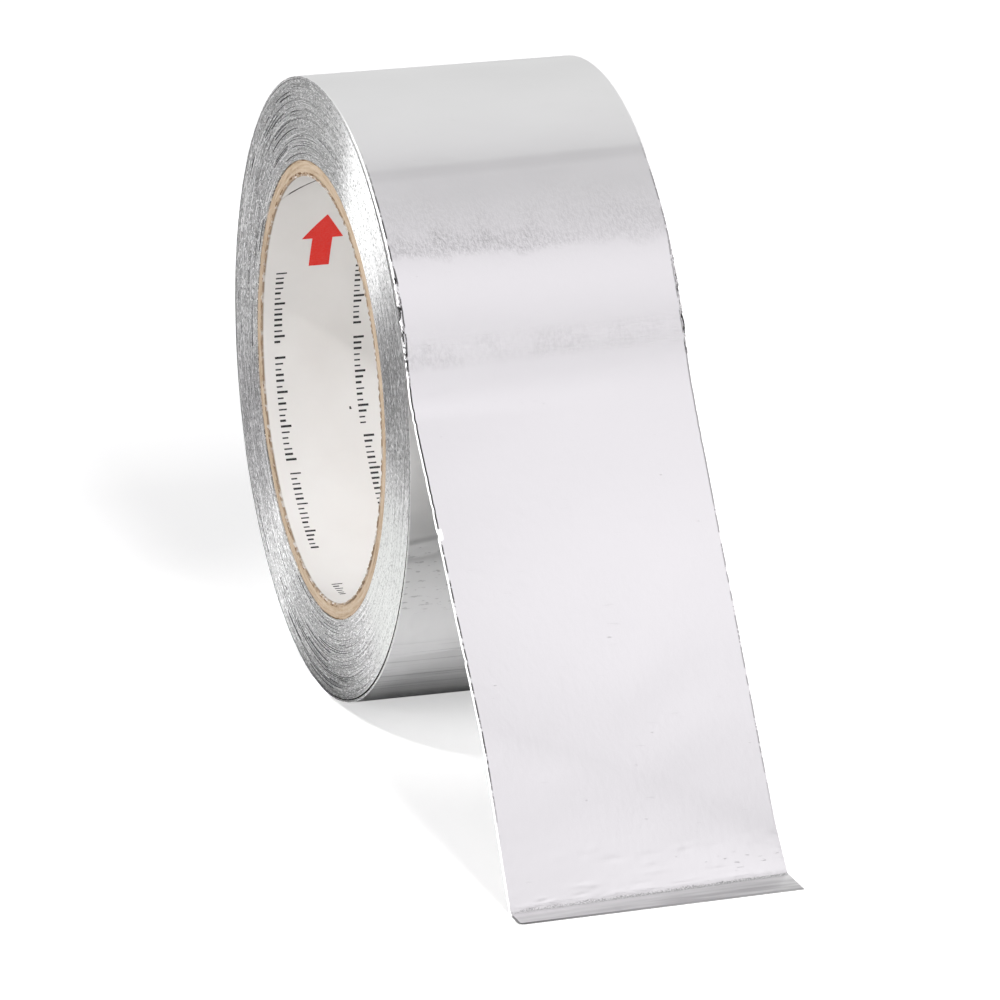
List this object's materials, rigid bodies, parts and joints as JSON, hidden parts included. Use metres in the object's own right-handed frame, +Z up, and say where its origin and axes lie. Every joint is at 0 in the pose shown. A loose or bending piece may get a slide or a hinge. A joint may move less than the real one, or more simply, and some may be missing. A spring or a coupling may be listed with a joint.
{
  "type": "aluminium foil tape",
  "caption": "Roll of aluminium foil tape on a paperboard core, standing on its rim, with its free end peeled off, hanging forward and creased into a short lip on the surface.",
  "frame": {"origin": "middle of the core's bore, on the roll's axis and half way across the tape", "axes": "+X along the roll's axis, +Z up from the surface that the roll stands on, free end on the -Y side"},
  "size_m": [0.0508, 0.1755, 0.1114],
  "materials": {
    "aluminium_foil": "satin",
    "core_board": "matte",
    "liner_paper": "matte"
  },
  "bodies": {
    "root": {"foil_tape": "aluminium_foil", "core": "core_board", "bore_liner": "liner_paper"}
  },
  "joints": []
}
